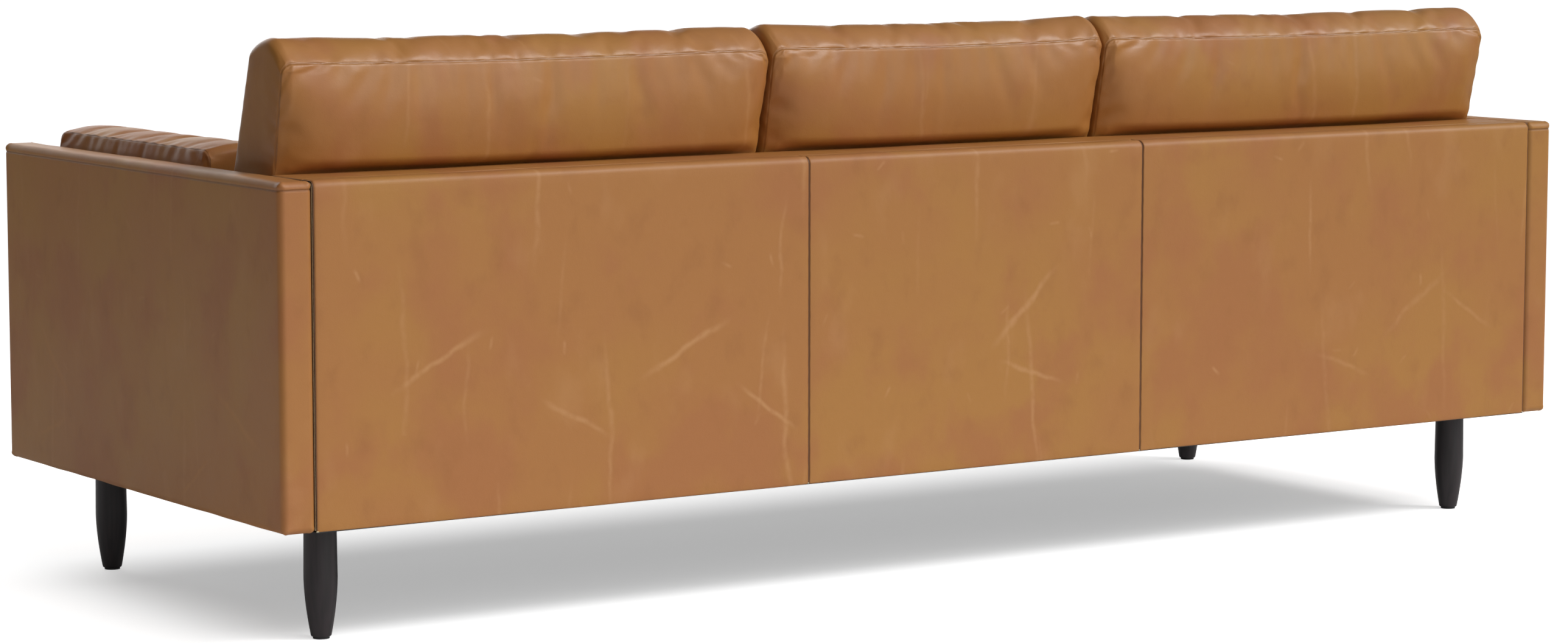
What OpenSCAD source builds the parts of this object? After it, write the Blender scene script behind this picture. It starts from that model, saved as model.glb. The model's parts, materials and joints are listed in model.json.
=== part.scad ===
// Three-seat leather sofa on turned wooden legs.
// +X runs along the sofa, -Y is the front, +Z is up. The origin is on the floor
// under the middle of the sofa. Left and right are as seen from the front.

/* [Overall] */
// Width over both arms
sofa_w = 2394; // [1994:10:2874]
// Depth from the front of the arms to the rear face
sofa_d = 936; // [860:2:1130]
// Height of the arms and the back above the floor
frame_top = 664; // [624:4:800]
// Height of the underside above the floor
leg_h = 171; // [140:1:210]
// Radius of the upholstered edges
edge_r = 11; // [8:1:12]

/* [Arms] */
// Finished thickness of one arm
arm_t = 53; // [44:1:80]
// Width of the posts inside an arm, along the sofa's depth
arm_post_w = 50; // [40:5:70]
// Height of the lower rail inside an arm
arm_low_rail_h = 88; // [75:1:95]
// Height of the upper rail inside an arm
arm_top_rail_h = 45; // [35:5:60]

/* [Back] */
// Depth of the back across its top
back_top_d = 135; // [115:5:165]
// Lean of the inner back from upright, in degrees
recline = 13; // [8:1:16]
// Thickness of the foam on the inner back
back_foam_t = 18; // [12:1:25]
// Thickness of the slats that carry the webbing
slat_t = 20; // [15:1:24]
// Height of one slat
slat_h = 60; // [40:5:80]
// Thickness of one upright of the back
upright_t = 22; // [18:1:30]
// Height of the top board of the back
top_board_h = 26; // [20:1:35]

/* [Seat] */
// Height of the seat deck above the floor
deck_z = 290; // [270:5:340]
// Thickness of one seat cushion
seat_cushion_t = 149; // [120:1:180]
// Width of the middle seat between its two seams
middle_w = 634; // [520:2:770]
// Thickness of the felt pad on the springs
deck_pad_t = 12; // [8:1:16]
// How far the seat cushions stop short of the front of the arms
seat_setback = 6; // [2:1:30]

/* [Cushions] */
// Height of the top of the back cushions above the floor
cushion_top = 861; // [800:1:960]
// Depth of a back cushion where it stands on the seat
back_cushion_foot = 150; // [120:2:180]
// Depth of a back cushion at its top
back_cushion_head = 100; // [85:1:125]
// Fall from the crest of a back cushion to its rear shoulder
shoulder_drop = 34; // [25:1:45]
// How far the rear of a back cushion hangs over the back
overhang = 52; // [30:1:60]
// Width of one arm pad, across the sofa
arm_pad_w = 128; // [100:1:155]
// Height of the top of the arm pads above the floor
arm_pad_top = 695; // [650:5:830]
// How far the arm pads stop short of the front of the arms
arm_pad_setback = 68; // [40:1:120]
// Rounding of the cushions' edges
cushion_r = 26; // [15:1:35]
// Thickness of a cushion's cover with the fibre wrap sewn into it
wrap_t = 20; // [14:1:22]

/* [Timber] */
// Thickness of the rails of the seat frame
rail_t = 28; // [22:1:35]
// Height of the blocks that carry the legs
leg_block_h = 40; // [32:1:42]
// Reach of a leg block past the middle of its leg
leg_block_reach = 52; // [45:1:60]

/* [Legs] */
// Leg centre to the outside of the arm
leg_in_x = 116; // [100:1:150]
// Leg centre to the rear face
leg_in_rear = 113; // [95:1:140]
// Leg centre to the front of the arms
leg_in_front = 122; // [95:1:150]
// Radius at the top of a leg
leg_top_r = 23.5; // [20:0.5:28]
// Largest radius of a leg
leg_belly_r = 24.4; // [20:0.1:29]
// Radius at the foot of a leg
leg_foot_r = 14.5; // [12:0.5:18]
// Radius of the threaded stud in a leg
stud_r = 4; // [3:0.5:5]

/* [Hidden] */
leather_t = 2;
arm_foam_t = 5;
board_t = 4;
rear_foam_t = 4;
rear_board_t = 3;
top_foam_t = 6;
web_t = 2;
web_w = 50;
deck_cloth_t = 2;
dust_t = 1.5;
front_foam_t = 8;
front_flap_d = 64;       // leather turned back over the deck behind the front border
seam_gap = 0.6;          // between pieces of leather that meet edge to edge
rest_gap = 0.5;          // between a loose cushion and what it rests on
side_gap = 2;            // between a loose cushion and what stands beside it
pad_back_gap = 4;        // between an arm pad and a back cushion
brow_drop = 14;          // fall from the crest of a back cushion to its front edge
corner_steps = 6;        // flats round one quarter of an edge

wire_r = 1.75;           // spring wire
clip_t = 1.2;            // spring clip sheet
clip_play = 0.2;         // between the wire and its clip
spring_half_w = 21;      // middle to the end of a cross run
spring_pitch = 29;       // one cross run to the next
springs_per_seat = 3;
clip_w = 16;
clip_d = 16;

bolt_r = 4;
bolt_play = 0.3;
bolt_head_r = 7.5;
bolt_head_h = 5;
bolt_tip_wall = 4;       // timber left beyond a bolt's tip, in the arm's lower rail
plate_half = 32;
plate_t = 3;
screw_r = 2;
screw_head_r = 4;
screw_head_h = 1.6;
screw_len = 22;
screw_in = 7;            // from the edge of a plate
stud_in_leg = 36;
stud_in_block = 26;
glide_t = 3;
glide_r = 12;
glide_pin_r = 1.6;
glide_pin_h = 14;

half_w = sofa_w / 2;
half_d = sofa_d / 2;
inner_x = half_w - arm_t;                 // inside face of an arm
seam_x = middle_w / 2;
core_lo = leg_h + leather_t;              // underside of all timber
clip_h = 2 * clip_t + 2 * wire_r + 2 * clip_play;
rail_top = deck_z - deck_cloth_t - deck_pad_t - clip_h;
pad_z = deck_z - deck_cloth_t - deck_pad_t;
rear_core_y = half_d - leather_t - rear_foam_t - rear_board_t;
front_core_y = -half_d + leather_t + front_foam_t;
side_rail_x = inner_x - rail_t;           // inside face of a side rail
deck_y = face_y(deck_z);                  // where the deck meets the inner back
leg_x = half_w - leg_in_x;
leg_rear_y = half_d - leg_in_rear;
leg_front_y = -half_d + leg_in_front;
seat_z = deck_z + rest_gap;               // underside of the seat cushions
stand_z = seat_z + seat_cushion_t + rest_gap;  // underside of what stands on them
cushion_lo_y = face_y(stand_z) - side_gap - back_cushion_foot;
pad_hi_y = cushion_lo_y - pad_back_gap;
web_in = leather_t + back_foam_t;
slat_in = web_in + web_t;
upright_in = slat_in + slat_t;

// ---- outlines and helpers -------------------------------------------------

// Front surface of the inner back at height z.
function face_y(z) = half_d - back_top_d - (frame_top - z) * tan(recline);

function unit(v) = v / norm(v);

// Points of an arc of radius r that rounds the corner p between a and b.
function fillet(a, p, b, r) =
    let (
        u = unit(a - p),
        v = unit(b - p),
        half = acos(u * v) / 2,
        centre = p + unit(u + v) * r / sin(half),
        from = p + u * r / tan(half) - centre,
        to = p + v * r / tan(half) - centre,
        start = atan2(from.y, from.x),
        turn = atan2(from.x * to.y - from.y * to.x, from * to)
    )
    [for (i = [0:corner_steps]) centre + r * [cos(start + turn * i / corner_steps),
                                              sin(start + turn * i / corner_steps)]];

// Outline through the corners p, each rounded by its own radius in r; 0 keeps it sharp.
function rounded(p, r) =
    let (n = len(p))
    [for (i = [0:n - 1])
        each r[i] > 0 ? fillet(p[(i + n - 1) % n], p[i], p[(i + 1) % n], r[i]) : [p[i]]];

module box(lo, hi) {
    translate(lo) cube(hi - lo);
}

// A Y-Z outline carried along X.
module span_x(x0, x1) {
    translate([x0, 0, 0]) rotate([90, 0, 90]) linear_extrude(x1 - x0) children();
}

// An X-Z outline carried along Y.
module span_y(y0, y1) {
    translate([0, y1, 0]) rotate([90, 0, 0]) linear_extrude(y1 - y0) children();
}

module round_rect(lo, hi, r) {
    polygon(rounded([lo, [hi.x, lo.y], hi, [lo.x, hi.y]], [r, r, r, r]));
}

// A box whose every edge is rounded by r.
module soft_box(lo, hi, r) {
    intersection() {
        translate([0, 0, lo.z]) linear_extrude(hi.z - lo.z)
            round_rect([lo.x, lo.y], [hi.x, hi.y], r);
        span_x(lo.x, hi.x) round_rect([lo.y, lo.z], [hi.y, hi.z], r);
        span_y(lo.y, hi.y) round_rect([lo.x, lo.z], [hi.x, hi.z], r);
    }
}

module both_sides() {
    children();
    mirror([1, 0, 0]) children();
}

module at_legs() {
    for (x = [-leg_x, leg_x], y = [leg_front_y, leg_rear_y])
        translate([x, y, 0]) children();
}

// Middles of the springs and webbing strips, the same number behind each seat.
function bay_centres() =
    let (outer = (seam_x + inner_x) / 2, outer_w = inner_x - seam_x)
    [for (seat = [-1, 0, 1], k = [0:springs_per_seat - 1])
        seat * outer + (k - (springs_per_seat - 1) / 2)
            * (seat == 0 ? middle_w : outer_w) / springs_per_seat];

// ---- seat frame -----------------------------------------------------------

module front_rail() {
    color("burlywood")
        box([-inner_x, front_core_y, core_lo], [inner_x, front_core_y + rail_t, rail_top]);
}

module rear_rail() {
    color("burlywood")
        box([-inner_x, rear_core_y - rail_t, core_lo], [inner_x, rear_core_y, rail_top]);
}

module rear_seat_rail() {
    color("burlywood")
        box([-side_rail_x, deck_y - rail_t, core_lo], [side_rail_x, deck_y, rail_top]);
}

module side_rails() {
    color("burlywood") both_sides() difference() {
        box([side_rail_x, front_core_y + rail_t, core_lo],
            [inner_x, rear_core_y - rail_t, rail_top]);
        arm_bolt_places() cylinder(h = 3 * rail_t, r = bolt_r + bolt_play, center = true, $fn = 32);
    }
}

module cross_rails() {
    color("burlywood") both_sides() {
        box([seam_x - rail_t / 2, front_core_y + rail_t, core_lo],
            [seam_x + rail_t / 2, deck_y - rail_t, rail_top - rail_t]);
        box([seam_x - rail_t / 2, deck_y, core_lo],
            [seam_x + rail_t / 2, rear_core_y - rail_t, rail_top]);
    }
}

module leg_blocks() {
    color("tan") both_sides() {
        leg_block(front_core_y + rail_t, leg_front_y + leg_block_reach, leg_front_y);
        leg_block(leg_rear_y - leg_block_reach, rear_core_y - rail_t, leg_rear_y);
    }
}

module leg_block(y0, y1, leg_y) {
    difference() {
        box([leg_x - leg_block_reach, y0, core_lo], [side_rail_x, y1, core_lo + leg_block_h]);
        translate([leg_x, leg_y, 0]) {
            cylinder(h = core_lo + stud_in_block, r = stud_r, $fn = 32);
            screw_places() cylinder(h = core_lo + screw_len - plate_t, r = screw_r, $fn = 24);
        }
    }
}

// ---- back -----------------------------------------------------------------

// Cross-section of the back above z0, drawn in by its own amount at the front,
// the top and the rear. Its upper edges are rounded by r.
module back_outline(z0, front_in, top_in, rear_in, r) {
    z1 = frame_top - top_in;
    polygon(rounded(
        [[face_y(z0) + front_in, z0], [half_d - rear_in, z0],
         [half_d - rear_in, z1], [face_y(z1) + front_in, z1]],
        [0, 0, r, r]));
}

module back_uprights() {
    color("burlywood")
        for (x = [-inner_x + upright_t / 2, -seam_x, 0, seam_x, inner_x - upright_t / 2])
            span_x(x - upright_t / 2, x + upright_t / 2)
                polygon([
                    [face_y(rail_top) + upright_in, rail_top],
                    [rear_core_y, rail_top],
                    [rear_core_y, top_board_z()],
                    [face_y(top_board_z()) + upright_in, top_board_z()]]);
}

function top_board_z() = frame_top - leather_t - top_foam_t - top_board_h;

// A strip that follows the lean of the inner back from z0 to z1.
module lean_strip(x0, x1, z0, z1, front_in, t) {
    span_x(x0, x1) polygon([
        [face_y(z0) + front_in, z0], [face_y(z0) + front_in + t, z0],
        [face_y(z1) + front_in + t, z1], [face_y(z1) + front_in, z1]]);
}

module back_slats() {
    color("burlywood") {
        lean_strip(-inner_x, inner_x, deck_z, deck_z + slat_h, slat_in, slat_t);
        lean_strip(-inner_x, inner_x, top_board_z() - slat_h, top_board_z(), slat_in, slat_t);
    }
}

module back_top_board() {
    z1 = top_board_z() + top_board_h;
    color("burlywood") span_x(-inner_x, inner_x) polygon([
        [face_y(top_board_z()) + slat_in, top_board_z()], [rear_core_y, top_board_z()],
        [rear_core_y, z1], [face_y(z1) + slat_in, z1]]);
}

module back_webbing() {
    color("dimgray") for (x = bay_centres())
        lean_strip(x - web_w / 2, x + web_w / 2, deck_z,
                   top_board_z() + top_board_h, web_in, web_t);
}

// Foam over the front and the top of the back, one piece from arm to arm.
module back_foam() {
    color("lightyellow") span_x(-inner_x, inner_x) difference() {
        back_outline(deck_z, leather_t, leather_t, leather_t, edge_r - leather_t);
        polygon([
            [face_y(deck_z) + web_in, deck_z], [half_d, deck_z],
            [half_d, frame_top - leather_t - top_foam_t],
            [face_y(frame_top - leather_t - top_foam_t) + web_in,
             frame_top - leather_t - top_foam_t]]);
    }
}

module rear_board() {
    color("peru")
        box([-inner_x, rear_core_y, core_lo],
            [inner_x, rear_core_y + rear_board_t, frame_top - leather_t - top_foam_t]);
}

module rear_foam() {
    color("lightyellow") span_x(-inner_x, inner_x) intersection() {
        back_outline(core_lo, leather_t, leather_t, leather_t, edge_r - leather_t);
        translate([rear_core_y + rear_board_t, core_lo])
            square([rear_foam_t, frame_top - leather_t - top_foam_t - core_lo]);
    }
}

// ---- arms -----------------------------------------------------------------

arm_core_x0 = inner_x + leather_t + arm_foam_t;      // inside face of the inner board
arm_core_x1 = half_w - leather_t - arm_foam_t;
arm_core_y = half_d - leather_t - arm_foam_t;
arm_core_z = frame_top - leather_t - arm_foam_t;
bolt_grip = arm_core_x1 - arm_core_x0 - 2 * board_t - bolt_tip_wall;
arm_bolt_drop = 21;                                  // below the lower rail's top
arm_bolt_z = core_lo + arm_low_rail_h - arm_bolt_drop;
arm_bolt_inset = 120;                                // from the arm's ends
arm_bolt_y = half_d - arm_bolt_inset;

// Bolt positions through the inside of the right arm, each with its Z axis along +X.
module arm_bolt_places() {
    for (y = [-arm_bolt_y, 0, arm_bolt_y])
        translate([inner_x, y, arm_bolt_z]) rotate([0, 90, 0]) children();
}

// Clearance holes through the leather, the foam and the board on an arm's inside.
module arm_bolt_holes() {
    arm_bolt_places() translate([0, 0, -1])
        cylinder(h = leather_t + arm_foam_t + board_t + 2, r = bolt_r + bolt_play, $fn = 32);
}

module arm_posts() {
    color("burlywood") both_sides()
        for (y = [-arm_core_y, -arm_post_w / 2, arm_core_y - arm_post_w])
            box([arm_core_x0 + board_t, y, core_lo + arm_low_rail_h],
                [arm_core_x1 - board_t, y + arm_post_w, arm_core_z - arm_top_rail_h]);
}

module arm_low_rails() {
    color("burlywood") both_sides() difference() {
        box([arm_core_x0 + board_t, -arm_core_y, core_lo],
            [arm_core_x1 - board_t, arm_core_y, core_lo + arm_low_rail_h]);
        arm_bolt_places()
            cylinder(h = leather_t + arm_foam_t + board_t + bolt_grip, r = bolt_r, $fn = 32);
    }
}

module arm_top_rails() {
    color("burlywood") both_sides()
        box([arm_core_x0 + board_t, -arm_core_y, arm_core_z - arm_top_rail_h],
            [arm_core_x1 - board_t, arm_core_y, arm_core_z]);
}

module arm_boards() {
    color("peru") both_sides() {
        difference() {
            box([arm_core_x0, -arm_core_y, core_lo],
                [arm_core_x0 + board_t, arm_core_y, arm_core_z]);
            arm_bolt_holes();
        }
        box([arm_core_x1 - board_t, -arm_core_y, core_lo],
            [arm_core_x1, arm_core_y, arm_core_z]);
    }
}

module arm_foam() {
    color("lightyellow") both_sides() difference() {
        arm_shape(leather_t);
        box([arm_core_x0, -arm_core_y, leg_h - 1], [arm_core_x1, arm_core_y, arm_core_z]);
        arm_bolt_holes();
    }
}

// The right arm's outer shape, drawn in by t on every side.
module arm_shape(t) {
    soft_box([inner_x + t, -half_d + t, leg_h + t], [half_w - t, half_d - t, frame_top - t],
             edge_r - t);
}

module arm_cover() {
    difference() {
        arm_shape(0);
        arm_shape(leather_t);
        arm_core_access();
        arm_bolt_holes();
    }
}

// The timber's square lower corners reach into the rounded lower edge of the leather.
module arm_core_access() {
    box([arm_core_x0, -arm_core_y, core_lo], [arm_core_x1, arm_core_y, core_lo + edge_r]);
}

module arm_cover_left() {
    color("sienna") mirror([1, 0, 0]) arm_cover();
}

module arm_cover_right() {
    color("sienna") arm_cover();
}

module arm_bolts() {
    color("silver") both_sides() arm_bolt_places() {
        translate([0, 0, -rail_t - bolt_head_h])
            cylinder(h = bolt_head_h, r = bolt_head_r, $fn = 6);
        translate([0, 0, -rail_t])
            cylinder(h = rail_t + leather_t + arm_foam_t + board_t + bolt_grip,
                     r = bolt_r, $fn = 32);
    }
}

// ---- seat deck ------------------------------------------------------------

spring_y0 = front_core_y + rail_t / 2;
spring_y1 = deck_y - rail_t / 2;
spring_runs = round((spring_y1 - spring_y0) / spring_pitch);
spring_z = rail_top + clip_t + clip_play + wire_r;
bend_r = (spring_y1 - spring_y0) / spring_runs / 2;

// Middle line of one spring: cross runs joined by half-round bends, alternately
// at the right and the left. It starts and ends in the middle of a cross run.
function spring_path() = [
    [-(spring_half_w - bend_r), spring_y0],
    for (run = [0:spring_runs - 1], a = [-90, 0, 90])
        [(run % 2 == 0 ? 1 : -1) * (spring_half_w - bend_r + bend_r * cos(a)),
         spring_y0 + bend_r * (2 * run + 1 + sin(a))],
    [(spring_runs % 2 == 0 ? 1 : -1) * (spring_half_w - bend_r), spring_y1]];

// Five-sided wire swept along a flat path.
module wire(path) {
    sides = 5;
    n = len(path);
    function across(i) =
        let (d = unit(path[min(i + 1, n - 1)] - path[max(i - 1, 0)])) [d.y, -d.x];
    points = [for (i = [0:n - 1], k = [0:sides - 1])
        let (a = 360 * k / sides, s = across(i) * wire_r * cos(a))
        [path[i].x + s.x, path[i].y + s.y, wire_r * sin(a)]];
    walls = [for (i = [0:n - 2], k = [0:sides - 1])
        let (a = i * sides + k, b = i * sides + (k + 1) % sides)
        each [[a, a + sides, b + sides], [a, b + sides, b]]];
    polyhedron(points, concat(
        walls,
        [[for (k = [0:sides - 1]) k]],
        [[for (k = [sides - 1:-1:0]) (n - 1) * sides + k]]), convexity = 10);
}

module seat_springs() {
    color("darkgray") for (x = bay_centres())
        translate([x, 0, spring_z]) wire(spring_path());
}

// One folded clip round the cross run at y; its closed side faces away from the seat.
module spring_clip(y, away) {
    z0 = rail_top;
    box([-clip_w / 2, y - clip_d / 2, z0], [clip_w / 2, y + clip_d / 2, z0 + clip_t]);
    box([-clip_w / 2, y - clip_d / 2, z0 + clip_h - clip_t],
        [clip_w / 2, y + clip_d / 2, z0 + clip_h]);
    wall_y = y + away * (clip_d - clip_t) / 2;
    box([-clip_w / 2, wall_y - clip_t / 2, z0], [clip_w / 2, wall_y + clip_t / 2, z0 + clip_h]);
}

module spring_clips() {
    color("silver") for (x = bay_centres()) translate([x, 0, 0]) {
        spring_clip(spring_y0, -1);
        spring_clip(spring_y1, 1);
    }
}

module deck_pad() {
    color("gray")
        box([-inner_x, -half_d + leather_t, pad_z], [inner_x, deck_y, pad_z + deck_pad_t]);
}

module deck_cloth() {
    color("saddlebrown")
        box([-inner_x, -half_d + front_flap_d, deck_z - deck_cloth_t],
            [inner_x, deck_y, deck_z]);
}

module front_foam() {
    color("lightyellow")
        box([-inner_x, -half_d + leather_t, core_lo], [inner_x, front_core_y, pad_z]);
}

// Leather over the front of the seat frame, turned back over the deck.
module front_border() {
    color("sienna") {
        box([-inner_x, -half_d, leg_h], [inner_x, -half_d + leather_t, deck_z - deck_cloth_t]);
        box([-inner_x, -half_d, deck_z - deck_cloth_t],
            [inner_x, -half_d + front_flap_d, deck_z]);
    }
}

module dust_cover() {
    color("black") difference() {
        box([-inner_x, -half_d + leather_t, core_lo - dust_t],
            [inner_x, half_d - leather_t, core_lo]);
        at_legs() box([-plate_half, -plate_half, 0], [plate_half, plate_half, frame_top]);
    }
}

// ---- leather on the back --------------------------------------------------

module inner_back_cover() {
    color("sienna") span_x(-inner_x, inner_x) difference() {
        back_outline(deck_z, 0, 0, 0, edge_r);
        back_outline(deck_z - 1, leather_t, leather_t, leather_t, edge_r - leather_t);
        translate([half_d - leather_t - 1, deck_z - 1])
            square([2 * leather_t, frame_top - edge_r - deck_z + 1]);
    }
}

module rear_panel(x0, x1) {
    box([x0, half_d - leather_t, leg_h], [x1, half_d, frame_top - edge_r]);
}

module rear_panel_left() {
    color("peru") rear_panel(-inner_x, -seam_x - seam_gap / 2);
}

module rear_panel_middle() {
    color("peru") rear_panel(-seam_x + seam_gap / 2, seam_x - seam_gap / 2);
}

module rear_panel_right() {
    color("peru") rear_panel(seam_x + seam_gap / 2, inner_x);
}

// ---- legs -----------------------------------------------------------------

leg_top_z = core_lo - plate_t;
leg_waist_z = leg_top_z * 0.52;          // where the taper to the foot begins

// Radius at height z: nearly straight above the waist, a bullet-shaped curve below it.
function leg_r(z) = z >= leg_waist_z
    ? leg_belly_r + (leg_top_r - leg_belly_r) * (z - leg_waist_z) / (leg_top_z - leg_waist_z)
    : leg_foot_r + (leg_belly_r - leg_foot_r) * (1 - pow(1 - z / leg_waist_z, 1.7));

module leg() {
    steps = 14;
    foot_round = 2;
    difference() {
        rotate_extrude($fn = 64) polygon(concat(
            [[0, glide_t], [leg_r(glide_t) - foot_round, glide_t]],
            [for (i = [0:steps])
                let (z = glide_t + foot_round + (leg_top_z - glide_t - foot_round) * i / steps)
                [leg_r(z), z]],
            [[0, leg_top_z]]));
        translate([0, 0, leg_top_z - stud_in_leg]) cylinder(h = stud_in_leg + 1, r = stud_r, $fn = 32);
        cylinder(h = glide_t + glide_pin_h, r = glide_pin_r, $fn = 24);
    }
}

module leg_front_left() {
    color("#3d3337") translate([-leg_x, leg_front_y, 0]) leg();
}

module leg_front_right() {
    color("#3d3337") translate([leg_x, leg_front_y, 0]) leg();
}

module leg_rear_left() {
    color("#3d3337") translate([-leg_x, leg_rear_y, 0]) leg();
}

module leg_rear_right() {
    color("#3d3337") translate([leg_x, leg_rear_y, 0]) leg();
}

module screw_places() {
    at = plate_half - screw_in;
    for (x = [-at, at], y = [-at, at]) translate([x, y, 0]) children();
}

module leg_plates() {
    color("silver") at_legs() difference() {
        box([-plate_half, -plate_half, leg_top_z], [plate_half, plate_half, core_lo]);
        translate([0, 0, leg_top_z - 1]) cylinder(h = plate_t + 2, r = stud_r, $fn = 32);
        screw_places() translate([0, 0, leg_top_z - 1])
            cylinder(h = plate_t + 2, r = screw_r, $fn = 24);
    }
}

module plate_screws() {
    color("silver") at_legs() screw_places() {
        translate([0, 0, leg_top_z - screw_head_h])
            cylinder(h = screw_head_h, r = screw_head_r, $fn = 24);
        translate([0, 0, leg_top_z]) cylinder(h = screw_len, r = screw_r, $fn = 24);
    }
}

module leg_studs() {
    color("silver") at_legs() translate([0, 0, leg_top_z - stud_in_leg])
        cylinder(h = stud_in_leg + plate_t + stud_in_block, r = stud_r, $fn = 32);
}

module foot_glides() {
    color("#2a2627") at_legs() {
        cylinder(h = glide_t, r = glide_r, $fn = 48);
        cylinder(h = glide_t + glide_pin_h, r = glide_pin_r, $fn = 24);
    }
}

// ---- loose cushions -------------------------------------------------------

// Ends of one seat along X: place -1 is the left one, 0 the middle one, 1 the right one.
function seat_x0(place) = place < 0 ? -inner_x + side_gap
    : place == 0 ? -seam_x + side_gap / 2 : seam_x + side_gap / 2;
function seat_x1(place) = place < 0 ? -seam_x - side_gap / 2
    : place == 0 ? seam_x - side_gap / 2 : inner_x - side_gap;

module seat_shape(place, t) {
    soft_box([seat_x0(place) + t, -half_d + seat_setback + t, seat_z + t],
             [seat_x1(place) - t, deck_y - side_gap - t, seat_z + seat_cushion_t - t],
             cushion_r - t);
}

// Side view of a back cushion: upright foot, leaning front and rear, rear shoulder
// hanging over the back. All corners drawn in by t.
function cushion_corners() =
    let (
        rear_y = face_y(frame_top) + overhang,
        lean_y = face_y(frame_top) - side_gap
    ) [
        [cushion_lo_y, stand_z],
        [face_y(stand_z) - side_gap, stand_z],
        [lean_y, frame_top],
        [rear_y, cushion_top - shoulder_drop],
        [rear_y - back_cushion_head / 2, cushion_top],
        [rear_y - back_cushion_head, cushion_top - brow_drop]
    ];

// Where two neighbouring edges of an outline meet when each is drawn in by t.
function drawn_in(a, p, b, t) =
    let (u = unit(p - a), v = unit(b - p), n = [-u.y, u.x], m = [-v.y, v.x])
    p + (n + m) * t / (1 + n * m);

module back_shape(place, t) {
    c = cushion_corners();
    n = len(c);
    inset = [for (i = [0:n - 1]) drawn_in(c[(i + n - 1) % n], c[i], c[(i + 1) % n], t)];
    r = cushion_r - t;
    intersection() {
        span_x(seat_x0(place) + t, seat_x1(place) - t)
            polygon(rounded(inset, [r, r / 2, 0, r, r, r]));
        span_y(-half_d, half_d)
            round_rect([seat_x0(place) + t, stand_z + t], [seat_x1(place) - t, cushion_top - t], r);
    }
}

module pad_shape(t) {
    x1 = inner_x - side_gap;
    soft_box([x1 - arm_pad_w + t, -half_d + arm_pad_setback + t, stand_z + t],
             [x1 - t, pad_hi_y - t, arm_pad_top - t], cushion_r - t);
}

module seat_cover(place) {
    color("sienna") difference() {
        seat_shape(place, 0);
        seat_shape(place, wrap_t);
    }
}

module back_cover(place) {
    color("sienna") difference() {
        back_shape(place, 0);
        back_shape(place, wrap_t);
    }
}

module pad_cover() {
    color("sienna") difference() {
        pad_shape(0);
        pad_shape(wrap_t);
    }
}

module seat_cushion_left() { seat_cover(-1); }
module seat_cushion_middle() { seat_cover(0); }
module seat_cushion_right() { seat_cover(1); }
module seat_foam_left() { color("lightyellow") seat_shape(-1, wrap_t); }
module seat_foam_middle() { color("lightyellow") seat_shape(0, wrap_t); }
module seat_foam_right() { color("lightyellow") seat_shape(1, wrap_t); }

module back_cushion_left() { back_cover(-1); }
module back_cushion_middle() { back_cover(0); }
module back_cushion_right() { back_cover(1); }
module back_fill_left() { color("white") back_shape(-1, wrap_t); }
module back_fill_middle() { color("white") back_shape(0, wrap_t); }
module back_fill_right() { color("white") back_shape(1, wrap_t); }

module arm_pad_left() { mirror([1, 0, 0]) pad_cover(); }
module arm_pad_right() { pad_cover(); }
module arm_pad_foam_left() { color("lightyellow") mirror([1, 0, 0]) pad_shape(wrap_t); }
module arm_pad_foam_right() { color("lightyellow") pad_shape(wrap_t); }

// ---- the nodes ------------------------------------------------------------

front_rail();
rear_rail();
rear_seat_rail();
side_rails();
cross_rails();
leg_blocks();
back_uprights();
back_slats();
back_top_board();
back_webbing();
back_foam();
rear_board();
rear_foam();
arm_posts();
arm_low_rails();
arm_top_rails();
arm_boards();
arm_foam();
arm_bolts();
seat_springs();
spring_clips();
deck_pad();
deck_cloth();
front_foam();
dust_cover();
arm_cover_left();
arm_cover_right();
inner_back_cover();
front_border();
rear_panel_left();
rear_panel_middle();
rear_panel_right();
leg_front_left();
leg_front_right();
leg_rear_left();
leg_rear_right();
leg_plates();
plate_screws();
leg_studs();
foot_glides();
seat_cushion_left();
seat_cushion_middle();
seat_cushion_right();
seat_foam_left();
seat_foam_middle();
seat_foam_right();
back_cushion_left();
back_cushion_middle();
back_cushion_right();
back_fill_left();
back_fill_middle();
back_fill_right();
arm_pad_left();
arm_pad_right();
arm_pad_foam_left();
arm_pad_foam_right();
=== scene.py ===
# %% [markdown]
# # A leather sofa on turned legs
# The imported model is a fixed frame: rails, springs, foam cores and hardware are there already, each
# at its real place. This script gives them their finishes, and makes the soft skins that a solid
# model can't hold: leather pulled over foam, three rows of loose cushions, and four turned legs.
# Every new piece is worked out in metres, in the frame's own coordinates: +X along the sofa, -Y to
# the front, +Z up.

# %% Load the frame
import json
import math

import bpy
import numpy as np
from mathutils import Matrix, Vector


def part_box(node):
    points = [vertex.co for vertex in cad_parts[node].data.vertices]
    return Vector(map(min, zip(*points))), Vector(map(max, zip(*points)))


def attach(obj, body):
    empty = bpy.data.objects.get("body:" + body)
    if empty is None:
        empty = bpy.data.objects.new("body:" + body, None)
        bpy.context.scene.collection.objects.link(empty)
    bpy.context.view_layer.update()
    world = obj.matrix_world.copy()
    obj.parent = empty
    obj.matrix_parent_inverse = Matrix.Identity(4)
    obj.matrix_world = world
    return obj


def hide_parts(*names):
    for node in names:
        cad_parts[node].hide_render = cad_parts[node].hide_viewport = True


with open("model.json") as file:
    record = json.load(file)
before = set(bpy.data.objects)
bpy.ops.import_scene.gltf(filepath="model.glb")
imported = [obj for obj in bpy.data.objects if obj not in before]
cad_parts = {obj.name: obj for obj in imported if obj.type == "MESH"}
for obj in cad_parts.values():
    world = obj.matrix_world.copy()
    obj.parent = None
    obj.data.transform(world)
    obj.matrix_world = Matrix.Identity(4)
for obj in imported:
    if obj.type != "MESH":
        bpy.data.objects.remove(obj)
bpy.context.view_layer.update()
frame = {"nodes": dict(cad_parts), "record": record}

# %% [markdown]
# ## Sizes that everything shares
# All places come from the boxes of the CAD nodes, so the leather follows the frame when the frame
# changes. Only the softness of things, such as how far a cushion swells, is chosen here.

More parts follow.
